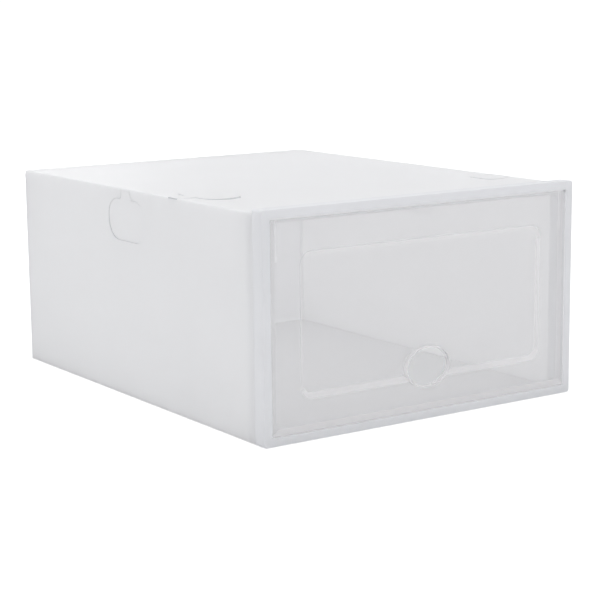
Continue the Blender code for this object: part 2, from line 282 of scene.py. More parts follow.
@dataclass(frozen=True)
class DoorFinish:
    """Clear haze moulding, with light and shade painted on as its faces are marked."""

    # The shade attribute blends these two: the deep end is painted shade and a little tint
    # on the flats, the pale end is the haze and painted light.
    shade_and_tint_colour: Colour = (0.22, 0.25, 0.30)
    lit_and_haze_colour: Colour = (0.895, 0.880, 0.888)
    cover: str = "cover"
    shade: str = "shade"
    shine_scale: float = 60.0
    smoothest: float = 0.16
    roughest: float = 0.24
    refraction: float = 1.52

    def material(self) -> bpy.types.Material:
        """Build the finish from the cover and the painted light and shade attributes."""
        graph = NodeGraph(bpy.data.materials.new("clear_door_finish"))
        colour = graph.blend(graph.attribute(self.shade), self.shade_and_tint_colour,
                             self.lit_and_haze_colour)
        shine = graph.ranged(graph.noise(self.shine_scale, 3.0), self.smoothest,
                             self.roughest)
        skin = graph.add("BsdfPrincipled", Base_Color=colour, Roughness=shine,
                         IOR=self.refraction, Alpha=graph.attribute(self.cover))
        return graph.finish(skin.outputs[0])


# ------------------------------------------------------------- mesh building


def at_depth(depth: float) -> float:
    """World Y, in millimetres, of a plane this far behind the frame's face."""
    return FRONT_Y + depth


def quarter_arc(centre: tuple, radius: float, start: float, steps: int) -> list:
    """Points along a quarter circle, counter-clockwise.

    Args:
        centre: The arc's centre.
        radius: The arc's radius.
        start: The first point's angle in degrees.
        steps: How many steps the quarter is cut into.

    Returns:
        The points, one more than the steps.
    """
    angles = [math.radians(start + 90.0 * step / steps) for step in range(steps + 1)]
    return [(centre[0] + radius * math.cos(angle), centre[1] + radius * math.sin(angle))
            for angle in angles]


@dataclass(frozen=True)
class Ring:
    """A rounded rectangle that stands across the box at one depth."""

    half_width: float
    bottom: float
    top: float
    radius: float
    depth: float
    steps: int = 6
    least_radius: float = 0.05

    def grown(self, amount: float, depth: float) -> "Ring":
        """The same ring moved out by an amount on every side, at another depth."""
        radius = max(self.radius + amount, self.least_radius)
        return Ring(self.half_width + amount, self.bottom - amount, self.top + amount,
                    radius, depth, self.steps)

    def moved(self, depth: float) -> "Ring":
        """The same ring at another depth."""
        return self.grown(0.0, depth)

    def draw(self, bm: bmesh.types.BMesh) -> list:
        """Add the ring's vertices and edges, and return the edges."""
        x = self.half_width - self.radius
        low = self.bottom + self.radius
        high = self.top - self.radius
        points = []
        for corner, start in (((x, low), -90.0), ((x, high), 0.0),
                              ((-x, high), 90.0), ((-x, low), 180.0)):
            points += quarter_arc(corner, self.radius, start, self.steps)
        y = at_depth(self.depth)
        vertices = [bm.verts.new((px, y, pz)) for px, pz in points]
        pairs = zip(vertices, vertices[1:] + vertices[:1])
        return [bm.edges.new(pair) for pair in pairs]


def loft(rings: list[Ring], closed: bool = False,
         capped: bool = False) -> bmesh.types.BMesh:
    """Bridge a row of rings.

    Args:
        rings: The rings in order.
        closed: Whether the last ring is also bridged to the first.
        capped: Whether the first and last rings are filled.

    Returns:
        A new bmesh.
    """
    bm = bmesh.new()
    drawn = [ring.draw(bm) for ring in rings]
    pairs = list(zip(drawn, drawn[1:]))
    if closed:
        pairs.append((drawn[-1], drawn[0]))
    for first, second in pairs:
        bmesh.ops.bridge_loops(bm, edges=first + second)
    if capped:
        for edges in (drawn[0], drawn[-1]):
            bmesh.ops.contextual_create(bm, geom=edges)
    return bm


def extrude_line(bm: bmesh.types.BMesh, edges: list, move: Vector) -> None:
    """Draw a row of edges out into a strip of sheet."""
    made = bmesh.ops.extrude_edge_only(bm, edges=edges)["geom"]
    moved = [item for item in made if isinstance(item, bmesh.types.BMVert)]
    bmesh.ops.translate(bm, verts=moved, vec=move)


def box_mesh(low: tuple, high: tuple) -> bmesh.types.BMesh:
    """A plain box between two corners, as a bmesh."""
    bm = bmesh.new()
    bmesh.ops.create_cube(bm, size=1.0)
    size = Vector(high) - Vector(low)
    bmesh.ops.scale(bm, verts=bm.verts, vec=size)
    bmesh.ops.translate(bm, verts=bm.verts, vec=(Vector(high) + Vector(low)) / 2)
    return bm


def rod_mesh(radius: float, reach: float, depth: float,
             height: float) -> bmesh.types.BMesh:
    """A rod along X with slightly rounded ends, centred on the box's middle.

    Args:
        radius: The rod's radius.
        reach: How far it reaches to each side.
        depth: Depth of its axis behind the frame's face.
        height: Height of its axis.

    Returns:
        A closed bmesh.
    """
    bm = bmesh.new()
    bmesh.ops.create_cone(bm, cap_ends=True, segments=32, radius1=radius,
                          radius2=radius, depth=2 * reach)
    bmesh.ops.rotate(bm, verts=bm.verts, matrix=Matrix.Rotation(math.pi / 2, 3, "Y"))
    rims = [edge for edge in bm.edges
            if abs(edge.verts[0].co.x - edge.verts[1].co.x) < radius / 10]
    bmesh.ops.bevel(bm, geom=rims, offset=radius / 4, segments=3, profile=0.5,
                    affect="EDGES", material=-1)
    bmesh.ops.translate(bm, verts=bm.verts, vec=(0.0, at_depth(depth), height))
    return bm


def slice_up(bm: bmesh.types.BMesh, axis: Vector, spacing: float) -> None:
    """Cut a mesh along evenly spaced planes, so that it can be bent."""
    along = [vertex.co.dot(axis) for vertex in bm.verts]
    low, high = min(along), max(along)
    count = max(int((high - low) / spacing), 1)
    for step in range(1, count):
        point = axis * (low + (high - low) * step / count)
        geometry = bm.verts[:] + bm.edges[:] + bm.faces[:]
        bmesh.ops.bisect_plane(bm, geom=geometry, dist=0.0001, plane_co=point,
                               plane_no=axis)


def shade(mesh: bpy.types.Mesh) -> None:
    """Shade a mesh smooth, and keep its sharper edges sharp."""
    mesh.shade_smooth()
    mesh.set_sharp_from_angle(angle=math.radians(SMOOTH_ANGLE))


def commit(name: str, bm: bmesh.types.BMesh,
           *materials: bpy.types.Material) -> bpy.types.Object:
    """Turn a bmesh in millimetres into an object at the origin.

    Args:
        name: The object's name.
        bm: The finished bmesh, which is freed.
        *materials: Its materials in order, or none for a tool.

    Returns:
        The new object.
    """
    bmesh.ops.remove_doubles(bm, verts=bm.verts, dist=0.0005)
    bmesh.ops.recalc_face_normals(bm, faces=bm.faces)
    bmesh.ops.scale(bm, verts=bm.verts, vec=(MM, MM, MM))
    mesh = bpy.data.meshes.new(name)
    bm.to_mesh(mesh)
    bm.free()
    shade(mesh)
    for material in materials:
        mesh.materials.append(material)
    piece = bpy.data.objects.new(name, mesh)
    bpy.context.scene.collection.objects.link(piece)
    return piece


def bake_shape(piece: bpy.types.Object) -> None:
    """Apply a piece's modifiers and shade it again."""
    graph = bpy.context.evaluated_depsgraph_get()
    shaped = bpy.data.meshes.new_from_object(piece.evaluated_get(graph))
    piece.modifiers.clear()
    piece.data = shaped
    shade(shaped)


def combine(piece: bpy.types.Object, tools: list, operation: str) -> None:
    """Cut or join a piece with tools, apply the result and delete the tools.

    Args:
        piece: The piece that is changed.
        tools: The solids to cut away or to join on.
        operation: DIFFERENCE to cut, UNION to join.
    """
    for tool in tools:
        modifier = piece.modifiers.new(tool.name, "BOOLEAN")
        modifier.operation = operation
        modifier.solver = "EXACT"
        modifier.object = tool
        if tool.data.materials:
            modifier.material_mode = "TRANSFER"
    bake_shape(piece)
    for tool in tools:
        bpy.data.objects.remove(tool, do_unlink=True)


def round_edges(piece: bpy.types.Object, width: float) -> None:
    """Round a piece's sharp edges, and apply it."""
    bevel = piece.modifiers.new("edges", "BEVEL")
    bevel.width = width * MM
    bevel.segments = 3
    bevel.limit_method = "ANGLE"
    bevel.angle_limit = math.radians(40.0)
    bevel.harden_normals = False
    bake_shape(piece)


def thicken(piece: bpy.types.Object, thickness: float, offset: float,
            rim_slot: int = 0) -> None:
    """Give an open surface a wall, and apply it.

    Args:
        piece: The open surface.
        thickness: The wall's thickness.
        offset: -1 to grow inwards, 0 to both sides.
        rim_slot: The material slot of the wall's cut edges.
    """
    wall = piece.modifiers.new("wall", "SOLIDIFY")
    wall.material_offset_rim = rim_slot
    wall.thickness = thickness * MM
    wall.offset = offset
    wall.use_even_offset = True
    bake_shape(piece)


def dress(piece: bpy.types.Object, body: str, slot: Slot, *nodes: str) -> None:
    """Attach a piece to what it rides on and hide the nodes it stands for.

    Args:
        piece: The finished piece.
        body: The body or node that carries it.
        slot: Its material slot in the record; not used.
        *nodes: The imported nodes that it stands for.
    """
    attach(piece, body)
    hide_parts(*nodes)
    log.info("%s rides on %s, %d faces", piece.name, body, len(piece.data.polygons))


# ------------------------------------------------------------ sub-assemblies


@dataclass(frozen=True)
class KeyholeShape:
    """The outline of a die-cut keyhole tab and of the hole it leaves."""

    root_width: float
    neck_width: float
    head_width: float
    head_length: float
    head_radius: float
    arc_steps: int = 12

    def outline(self, neck: float, start: float, grow: float) -> list:
        """The outline's points: u along the crease, v away from it.

        Args:
            neck: The neck's length from the crease to the head.
            start: Where the neck begins, measured from the crease.
            grow: How far the outline is moved out on every side.

        Returns:
            The points in order.
        """
        flare = (self.neck_width - self.root_width) / 2 / neck
        half_start = self.root_width / 2 + flare * start + grow
        half_neck = self.neck_width / 2 + grow
        radius = self.head_radius + grow
        centre = self.head_width / 2 - self.head_radius
        near = neck + self.head_radius
        far = neck + self.head_length - self.head_radius
        points = [(half_start, start), (half_neck, neck - grow)]
        for corner, angle in (((centre, near), -90.0), ((centre, far), 0.0),
                              ((-centre, far), 90.0), ((-centre, near), 180.0)):
            points += quarter_arc(corner, radius, angle, self.arc_steps)
        points += [(-half_neck, neck - grow), (-half_start, start)]
        return points


LARGE_KEYHOLE = KeyholeShape(root_width=10.0, neck_width=14.0, head_width=46.0,
                             head_length=26.0, head_radius=12.0)
SMALL_KEYHOLE = KeyholeShape(root_width=11.0, neck_width=13.0, head_width=24.0,
                             head_length=16.0, head_radius=5.0)


@dataclass(frozen=True)
class SheetTube:
    """The creased sheet, folded into a tube, with its keyholes cut out."""

    sheet: float = 0.7
    side_inset: float = 0.6
    top_inset: float = 2.2
    front: float = 10.15
    wall_end: float = 296.0
    top_end: float = 297.0
    crease_radius: float = 0.74
    wall_bow: float = 0.9
    top_bow: float = 1.1
    bow_skin: float = 1.0
    cell: float = 7.0

    @property
    def half(self) -> float:
        """Half the tube's outer width."""
        return HALF_WIDTH - self.side_inset

    @property
    def top(self) -> float:
        """Height of the top panel's upper face."""
        return HEIGHT - self.top_inset

    def bow(self, point: Vector) -> Vector:
        """How far the springy sheet sags inwards at a point of its surface.

        The frame, the rear panel and the creases hold the sheet's edges, so the
        sag is nothing there and nearly even in between.
        """
        run = (point.y - at_depth(self.front)) / (self.wall_end - self.front)
        along = 1.0 - abs(2.0 * min(max(run, 0.0), 1.0) - 1.0) ** 6
        up = 1.0 - abs(2.0 * min(max(point.z / self.top, 0.0), 1.0) - 1.0) ** 4
        across = 1.0 - min(abs(point.x) / self.half, 1.0) ** 4
        if abs(point.x) > self.half - self.bow_skin:
            return -math.copysign(self.wall_bow * along * up, point.x) * WIDTHWAYS
        if point.z > self.top - self.bow_skin:
            return -self.top_bow * along * across * UPWARDS
        return Vector()

    def settle(self, point: Vector) -> Vector:
        """Where a point of the straight tube lies on the real one.

        Args:
            point: The point, in millimetres.

        Returns:
            The point with the sheet's bow, and with the top panel's rear edge
            drawn out over the rear panel.
        """
        point = point + self.bow(point)
        at_end = point.y > at_depth(self.wall_end) - TOLERANCE
        inside = abs(point.x) < self.half - 2 * self.crease_radius
        if at_end and inside and point.z > self.top - self.sheet - TOLERANCE:
            point.y = at_depth(self.top_end)
        return point

    def build(self, material: bpy.types.Material, cut: bpy.types.Material,
              backed_lit: bpy.types.Material, tabs: list) -> bpy.types.Object:
        """Fold the tube, cut the tabs' keyholes and dress it.

        Args:
            material: The sheet's finish.
            cut: The finish of its cut edges, partly greyed by painted shade.
            backed_lit: The bottom panel's finish, lying on another face, paler by painted
                light.
            tabs: The tabs whose keyholes are cut out.

        Returns:
            The tube.
        """
        bm = bmesh.new()
        mouth = Ring(self.half, 0.0, self.top, self.crease_radius, self.front, 4)
        extrude_line(bm, mouth.draw(bm), (self.wall_end - self.front) * DEPTHWAYS)
        for axis in (WIDTHWAYS, DEPTHWAYS, UPWARDS):
            slice_up(bm, axis, self.cell)
        piece = commit("folded_sheet", bm, material, cut)
        thicken(piece, self.sheet, -1.0, rim_slot=1)
        combine(piece, [tab.cutter(cut) for tab in tabs], "DIFFERENCE")
        for vertex in piece.data.vertices:
            vertex.co = self.settle(vertex.co / MM) * MM
        piece.data.materials.append(backed_lit)
        # The bottom panel takes the paler finish of painted light.
        bottom = (self.sheet + TOLERANCE) * MM
        for polygon in piece.data.polygons:
            if polygon.material_index == 0 and polygon.center.z < bottom:
                polygon.material_index = len(piece.data.materials) - 1
        dress(piece, "carcass", Slot.SHEET,
              "bottom_panel", "top_panel", "left_wall", "right_wall")
        return piece


@dataclass(frozen=True)
class LinkTab:
    """A keyhole tab, hinged on an upper crease and sprung slightly open."""

    node: str
    side: Side
    depth: float
    neck: float
    lift: float
    in_top: bool
    shape: KeyholeShape = LARGE_KEYHOLE
    tube: SheetTube = field(default_factory=SheetTube)
    cut_gap: float = 0.15
    cut_play: float = 0.06
    start: float = 0.15
    overrun: float = 3.0
    spring: float = 1.3
    cell: float = 2.5

    def placement(self) -> Matrix:
        """The crease with v running down a wall or inwards along the top."""
        middle = self.tube.sheet / 2
        if self.in_top:
            away = -self.side.value * WIDTHWAYS
            corner = Vector((self.side.value * self.tube.half, at_depth(self.depth),
                             self.tube.top - middle))
        else:
            away = -UPWARDS
            corner = Vector((self.side.value * (self.tube.half - middle),
                             at_depth(self.depth),
                             self.tube.top - self.tube.sheet - self.start))
        normal = DEPTHWAYS.cross(away)
        matrix = Matrix((DEPTHWAYS, away, normal)).transposed().to_4x4()
        matrix.translation = corner
        return matrix

    def outward(self) -> Vector:
        """The direction that the tab springs open in."""
        return UPWARDS if self.in_top else self.side.value * WIDTHWAYS

    def solid(self, start: float, grow: float, thickness: float) -> bmesh.types.BMesh:
        """A flat keyhole of some thickness, lying in the sheet.

        Args:
            start: Where the neck begins, measured from the crease.
            grow: How far the outline is moved out on every side.
            thickness: The keyhole's thickness, half to each side of the sheet.

        Returns:
            A closed bmesh in the box's own coordinates.
        """
        bm = bmesh.new()
        outline = self.shape.outline(self.neck, start, grow)
        corners = [bm.verts.new((u, v, -thickness / 2)) for u, v in outline]
        face = bm.faces.new(corners)
        made = bmesh.ops.extrude_face_region(bm, geom=[face])["geom"]
        raised = [item for item in made if isinstance(item, bmesh.types.BMVert)]
        bmesh.ops.translate(bm, verts=raised, vec=(0.0, 0.0, thickness))
        bmesh.ops.transform(bm, verts=bm.verts, matrix=self.placement())
        return bm

    def cutter(self, cut: bpy.types.Material) -> bpy.types.Object:
        """The solid that cuts this tab's keyhole from its own panel only."""
        start = -self.overrun if self.in_top else self.start / 3
        solid = self.solid(start, self.cut_gap, self.tube.sheet + self.cut_play)
        return commit(self.node + "_cutter", solid, cut)

    def build(self, material: bpy.types.Material,
              cut: bpy.types.Material) -> bpy.types.Object:
        """Model the tab, bent with the sheet and lifted at its free end."""
        bm = self.solid(self.start, 0.0, self.tube.sheet)
        place = self.placement()
        away = place.col[1].to_3d()
        slice_up(bm, away, self.cell)
        length = self.neck + self.shape.head_length
        for vertex in bm.verts:
            run = (vertex.co - place.translation).dot(away) / length
            vertex.co += self.tube.bow(vertex.co)
            vertex.co += self.outward() * self.lift * max(run, 0.0) ** self.spring
        piece = commit(self.node + "_sheet", bm, material, cut)
        # The tab's cut edges take the greyer finish, partly painted shade of the gap.
        for polygon in piece.data.polygons:
            run = (polygon.center / MM - place.translation).dot(away)
            at_edge = abs(polygon.normal.dot(self.outward())) < 0.5
            polygon.material_index = int(at_edge and run > self.start + TOLERANCE)
        dress(piece, self.node, Slot.SHEET, self.node)
        return piece


@dataclass(frozen=True)
class FrontFrame:
    """The moulded bezel with its door recess, lip, pin sockets and spigot."""

    bezel_depth: float = 10.0
    side_bar: float = 5.5
    top_bar: float = 5.0
    bottom_bar: float = 5.2
    corner_radius: float = 1.6
    lip_front: float = 2.4
    lip_back: float = 4.0
    window_side: float = 9.8
    window_top: float = 8.0
    window_bottom: float = 9.3
    window_radius: float = 3.5
    spigot_half: float = 113.4
    spigot_bottom: float = 1.0
    spigot_top: float = 130.8
    spigot_wall: float = 1.5
    spigot_end: float = 17.0
    edge_radius: float = 0.5
    socket_play: float = 0.3

    def rings(self) -> list[Ring]:
        """The frame's section, as rings in order round it."""
        outer = Ring(HALF_WIDTH, 0.0, HEIGHT, self.corner_radius, 0.0)
        spigot = Ring(self.spigot_half, self.spigot_bottom, self.spigot_top, 1.0,
                      self.bezel_depth)
        bore = spigot.grown(-self.spigot_wall, self.spigot_end)
        window = Ring(HALF_WIDTH - self.window_side, self.window_bottom,
                      HEIGHT - self.window_top, self.window_radius, self.lip_back)
        recess = Ring(HALF_WIDTH - self.side_bar, self.bottom_bar,
                      HEIGHT - self.top_bar, 0.8, self.lip_front)
        return [outer, outer.moved(self.bezel_depth), spigot,
                spigot.moved(self.spigot_end), bore, bore.moved(self.lip_back), window,
                window.moved(self.lip_front), recess, recess.moved(0.0)]

    def build(self, material: bpy.types.Material, thin: bpy.types.Material,
              lip: bpy.types.Material, door: "ClearDoor") -> bpy.types.Object:
        """Bridge the section, bore the sockets, round the edges and dress it.

        Args:
            material: The finish of the solid bars.
            thin: The finish of the recess and the spigot, paler by painted light.
            lip: The finish of the lip's front, which the door shuts on, paler by painted
                light.
            door: The door whose pins the sockets take.

        Returns:
            The frame.
        """
        bars = loft(self.rings(), closed=True)
        piece = commit("frame_moulding", bars, material, thin, lip)
        # The lip's front and the thin walls take paler finishes of painted light.
        for polygon in piece.data.polygons:
            place = polygon.center / MM
            on_lip = abs(place.y - at_depth(self.lip_front)) < TOLERANCE
            polygon.material_index = 2 if on_lip else int(self.is_thin(place))
        round_edges(piece, self.edge_radius)
        bore = rod_mesh(door.bead_radius + self.socket_play,
                        door.half + door.pin_length + self.socket_play,
                        door.hinge_depth, door.hinge_height)
        combine(piece, [commit("socket_bore", bore)], "DIFFERENCE")
        dress(piece, "carcass", Slot.FRAME, "front_frame")
        return piece

    def is_thin(self, place: Vector) -> bool:
        """Whether a face at a place belongs to a thin wall of the moulding."""
        behind = place.y > at_depth(self.bezel_depth) + TOLERANCE
        inner = HALF_WIDTH - self.side_bar + TOLERANCE
        low = self.bottom_bar - TOLERANCE
        high = HEIGHT - self.top_bar + TOLERANCE
        within = abs(place.x) < inner and low < place.z < high
        return behind or (within and place.y > at_depth(self.edge_radius / 2))


@dataclass(frozen=True)
class ClearDoor:
    """The lift-up door: pressed panel, rimmed finger hole, bead and pins."""

    front: float = 0.6
    thickness: float = 1.2
    half: float = 109.42
    bottom: float = 5.28
    hinge_height: float = 127.3
    hinge_depth: float = 1.4
    bead_radius: float = 0.7
    pin_length: float = 2.18
    panel_half: float = 89.8
    panel_top: float = 109.1
    panel_bottom: float = 24.0
    panel_radius: float = 8.0
    press: float = 2.0
    slope: float = 3.5
    slope_steps: int = 8
    hole_width: float = 31.8
    hole_height: float = 23.4
    hole_centre: float = 31.3
    hole_offset: float = 1.8
    rim_wall: float = 0.9
    rim_front: float = 0.35
    rim_back: float = 4.15
    rim_rounding: float = 0.4
    chamfer: float = 0.12
    corner_radius: float = 1.0
    arm_width: float = 3.9
    slot_width: float = 0.8
    slot_length: float = 23.3
    haze: float = 0.25
    edge_haze: float = 0.12
    rim_and_bead_highlight_haze: float = 0.34
    lit_slope_haze: float = 0.38
    crease_shade_line_haze: float = 0.46
    crease_line: float = 0.55
    strip: float = 4.0
    lit_strip_haze: float = 0.46
    shade_crescent_haze: float = 0.65
    crescent_depth: float = 1.1
    crescent_start: float = 15.0
    crescent_end: float = 66.0
    rim_zone: float = 1.3
    edge_tilt: float = 0.5
    flat_tilt: float = 0.995
    light_gain: float = 4.0
    light_lean: float = 0.12
    crease_shade: float = 0.7
    plate_shade: float = 0.8

    def edge(self) -> Ring:
        """The door's outline, half-way through its thickness."""
        return Ring(self.half, self.bottom, self.hinge_height, self.corner_radius,
                    self.front + self.thickness / 2)

    def skin(self, front: bool) -> list[Ring]:
        """Rings of one face, from the door's edge to its pressed panel."""
        level = self.front if front else self.front + self.thickness
        shift = 0.0 if front else self.thickness * 0.6
        edge = self.edge()
        rings = [edge.grown(-self.chamfer, level), edge.grown(-self.strip, level)]
        foot = Ring(self.panel_half + shift, self.panel_bottom - shift,
                    self.panel_top + shift, self.panel_radius + shift, level)
        for step in range(self.slope_steps + 1):
            run = step / self.slope_steps
            fall = run * run * (3.0 - 2.0 * run)
            rings.append(foot.grown(-self.slope * run, level + self.press * fall))
        return rings

    def oval(self, grow: float, low: float, high: float,
             rounding: float) -> bmesh.types.BMesh:
        """An oval cylinder through the finger hole.

        Args:
            grow: How far it stands outside the hole.
            low: Depth of its front end.
            high: Depth of its rear end.
            rounding: Radius of its front and rear edges, or 0.

        Returns:
            A closed bmesh.
        """
        bm = bmesh.new()
        bmesh.ops.create_cone(bm, cap_ends=True, segments=72, radius1=0.5,
                              radius2=0.5, depth=high - low)
        bmesh.ops.rotate(bm, verts=bm.verts,
                         matrix=Matrix.Rotation(math.pi / 2, 3, "X"))
        bmesh.ops.scale(bm, verts=bm.verts,
                        vec=(self.hole_width + 2 * grow, 1.0,
                             self.hole_height + 2 * grow))
        if rounding:
            rims = [edge for edge in bm.edges
                    if abs(edge.verts[0].co.y - edge.verts[1].co.y) < TOLERANCE]
            bmesh.ops.bevel(bm, geom=rims, offset=rounding, segments=4,
                            profile=0.5, affect="EDGES", material=-1)
        centre = (self.hole_offset, at_depth((low + high) / 2), self.hole_centre)
        bmesh.ops.translate(bm, verts=bm.verts, vec=centre)
        return bm

    def hole(self) -> bmesh.types.BMesh:
        """The finger hole, with a cut round its wall where the crescent of painted shade
        ends.
        """
        bm = self.oval(0.0, -2.0, 12.0, 0.0)
        geometry = bm.verts[:] + bm.edges[:] + bm.faces[:]
        bmesh.ops.bisect_plane(bm, geom=geometry, dist=0.0001, plane_no=DEPTHWAYS,
                               plane_co=at_depth(self.crescent_depth) * DEPTHWAYS)
        return bm

    def slot(self, side: Side) -> bmesh.types.BMesh:
        """The slot that frees one spring arm, open at the door's upper edge."""
        ends = [side.value * (self.half - self.arm_width - width)
                for width in (0.0, self.slot_width)]
        low = (min(ends), at_depth(-1.0), self.hinge_height - self.slot_length)
        high = (max(ends), at_depth(8.0), self.hinge_height + 4.0)
        return box_mesh(low, high)

    def build(self, material: bpy.types.Material) -> bpy.types.Object:
        """Model the door and dress it."""
        edge = self.edge()
        sides = [edge.moved(self.front + self.chamfer),
                 edge.moved(self.front + self.thickness - self.chamfer)]
        rings = self.skin(True)[::-1] + sides + self.skin(False)
        piece = commit("door_moulding", loft(rings, capped=True), material)
        bead = rod_mesh(self.bead_radius, self.half + self.pin_length,
                        self.hinge_depth, self.hinge_height)
        rim = self.oval(self.rim_wall, self.rim_front, self.rim_back,
                        self.rim_rounding)
        combine(piece, [commit("bead", bead), commit("rim", rim)], "UNION")
        cuts = [commit("hole", self.hole())]
        cuts += [commit(side.word + "_slot", self.slot(side)) for side in Side]
        combine(piece, cuts, "DIFFERENCE")
        self.mark(piece.data)
        dress(piece, "door", Slot.DOOR, "door")
        return piece

    def inset(self, x: float, z: float) -> float:
        """How far inside the pressed panel's outline a point lies."""
        middle = (self.panel_top + self.panel_bottom) / 2
        tall = (self.panel_top - self.panel_bottom) / 2
        across = abs(x) - self.panel_half + self.panel_radius
        up = abs(z - middle) - tall + self.panel_radius
        outside = math.hypot(max(across, 0.0), max(up, 0.0))
        return self.panel_radius - outside - min(max(across, up), 0.0)

    def look(self, place: Vector, normal: Vector) -> tuple:
        """How hazy and how pale a face looks, with painted light and shade.

        Edges are nearly clear. The hole's rim and the hinge bead are hazier and pale, a
        painted highlight, and the strip along the lower edge is paler, painted light where
        the lit lip shows through. The slope round the pressed panel is hazier where it
        turns up to the light, a painted highlight, and its outer crease is a thin deeper
        line of painted shade. The rim's inside shows a dark crescent of painted shade.

        Args:
            place: The face's centre, in millimetres.
            normal: The face's outward direction.

        Returns:
            The haze and the shade, both from 0 to 1.
        """
        across = (place.x - self.hole_offset) / self.hole_width * 2
        up = (place.z - self.hole_centre) / self.hole_height * 2
        from_hole = math.hypot(across, up)
        inset = self.inset(place.x, place.z)
        if abs(normal.y) < self.edge_tilt:
            turn = math.degrees(math.atan2(up, across))
            in_front = place.y < at_depth(self.crescent_depth)
            in_turn = self.crescent_start < turn < self.crescent_end
            # Painted shade: a dark crescent on the rim's inside, at its upper right.
            if from_hole < 1.03 and in_front and in_turn:
                return self.shade_crescent_haze, 0.0
            # Painted highlight: the hole's rim walls and the hinge bead are hazed pale.
            at_hinge = abs(place.z - self.hinge_height) < self.bead_radius + 0.1
            pale = from_hole < self.rim_zone or at_hinge
            return (self.rim_and_bead_highlight_haze if pale else self.edge_haze), 1.0
        # Painted highlight: the rim's front is hazed pale.
        if from_hole < self.rim_zone and place.y < at_depth(self.front - 0.05):
            return self.rim_and_bead_highlight_haze, 1.0
        if 0.0 < inset < self.slope and -self.flat_tilt < normal.y < 0.0:
            # Painted highlight where the slope faces up to the light, and painted shade as
            # a thin line along its crease where it faces away.
            slant = normal.z - self.light_lean * normal.x
            lit = min(max(self.light_gain * slant, 0.0), 1.0)
            if inset < self.crease_line and lit == 0.0:
                return self.crease_shade_line_haze, self.crease_shade
            return self.haze + (self.lit_slope_haze - self.haze) * lit, 1.0
        # Painted light: the lower strip is paler where the lit lip shows through.
        if normal.y < 0.0 and place.z < self.bottom + self.strip:
            return self.lit_strip_haze, 1.0
        return self.haze, self.plate_shade

    def mark(self, mesh: bpy.types.Mesh) -> None:
        """Store each face's haze and painted light and shade for the finish."""
        hazes = mesh.attributes.new(DoorFinish.cover, "FLOAT", "FACE").data
        shades = mesh.attributes.new(DoorFinish.shade, "FLOAT", "FACE").data
        for polygon in mesh.polygons:
            haze, pale = self.look(polygon.center / MM, polygon.normal)
            hazes[polygon.index].value = haze
            shades[polygon.index].value = pale


@dataclass(frozen=True)
class BackClosure:
    """The rear panel with its tuck lip."""

    tube: SheetTube = field(default_factory=SheetTube)
    panel_top: float = 130.2
    lip_front: float = 284.0
    lip_half: float = 110.4
    lip_taper: float = 5.0
    lip_taper_run: float = 10.0
    side_gap: float = 0.2
    fold_radius: float = 0.8
    back_margin: float = 0.03
    cell: float = 6.0

    def build(self, material: bpy.types.Material,
              cut: bpy.types.Material) -> bpy.types.Object:
        """Model the panel and lip as one folded sheet."""
        bm = bmesh.new()
        middle = self.tube.sheet / 2
        rear = at_depth(DEPTH - middle - self.back_margin)
        half = self.tube.half - self.side_gap
        upper = self.panel_top - middle
        fold = (rear - self.fold_radius, upper - self.fold_radius)
        profile = [(rear, 0.0)]
        profile += quarter_arc(fold, self.fold_radius, 0.0, 5)
        profile.append((at_depth(self.lip_front), upper))
        vertices = [bm.verts.new((-half, y, z)) for y, z in profile]
        edges = [bm.edges.new(pair) for pair in zip(vertices, vertices[1:])]
        extrude_line(bm, edges, 2 * half * WIDTHWAYS)
        for axis in (WIDTHWAYS, DEPTHWAYS, UPWARDS):
            slice_up(bm, axis, self.cell)
        for vertex in bm.verts:
            self.trim(vertex, half, rear)
        piece = commit("back_fold", bm, material, cut)
        thicken(piece, self.tube.sheet, 0.0, rim_slot=1)
        dress(piece, "back_panel", Slot.SHEET, "back_panel", "tuck_lip")
        return piece

    def trim(self, vertex: bmesh.types.BMVert, half: float, rear: float) -> None:
        """Narrow the lip towards its front edge."""
        forward = rear - self.fold_radius - vertex.co.y
        if forward > 0.0:
            run = min(forward / self.lip_taper_run, 1.0)
            vertex.co.x *= (self.lip_half - self.lip_taper * run * run) / half


@dataclass(frozen=True)
class DustFlap:
    """A side flap behind the rear panel, bent in softly from its wall."""

    side: Side
    tube: SheetTube = field(default_factory=SheetTube)
    wall_gap: float = 0.3
    rear: float = 295.65
    bend_radius: float = 2.0
    overlap: float = 0.3
    reach: float = 73.4
    bottom: float = 2.2
    top: float = 129.2
    taper: float = 3.0
    cell: float = 4.0

    def build(self, material: bpy.types.Material) -> bpy.types.Object:
        """Model the bent flap and hide the node it stands for."""
        outer = self.tube.half - self.tube.sheet * 1.5 - self.wall_gap
        rear = at_depth(self.rear)
        corner = (outer - self.bend_radius, rear - self.bend_radius)
        route = [(outer, rear - self.bend_radius - self.overlap)]
        route += quarter_arc(corner, self.bend_radius, 0.0, 8)
        route.append((self.reach, rear))
        bm = bmesh.new()
        vertices = [bm.verts.new((self.side.value * x, y, self.bottom)) for x, y in route]
        edges = [bm.edges.new(pair) for pair in zip(vertices, vertices[1:])]
        extrude_line(bm, edges, (self.top - self.bottom) * UPWARDS)
        for axis in (WIDTHWAYS, UPWARDS):
            slice_up(bm, axis, self.cell)
        middle = (self.top + self.bottom) / 2
        for vertex in bm.verts:
            run = max(outer - abs(vertex.co.x), 0.0) / (outer - self.reach)
            narrow = 1.0 - run * self.taper / (self.top - middle)
            vertex.co.z = middle + (vertex.co.z - middle) * narrow
        name = self.side.word + "_dust_flap"
        piece = commit(name + "_sheet", bm, material)
        thicken(piece, self.tube.sheet, 0.0)
        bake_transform(piece)
        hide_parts(name)
        log.info("%s bends with its joint", piece.name)
        return piece


# -------------------------------------------------------------------- studio


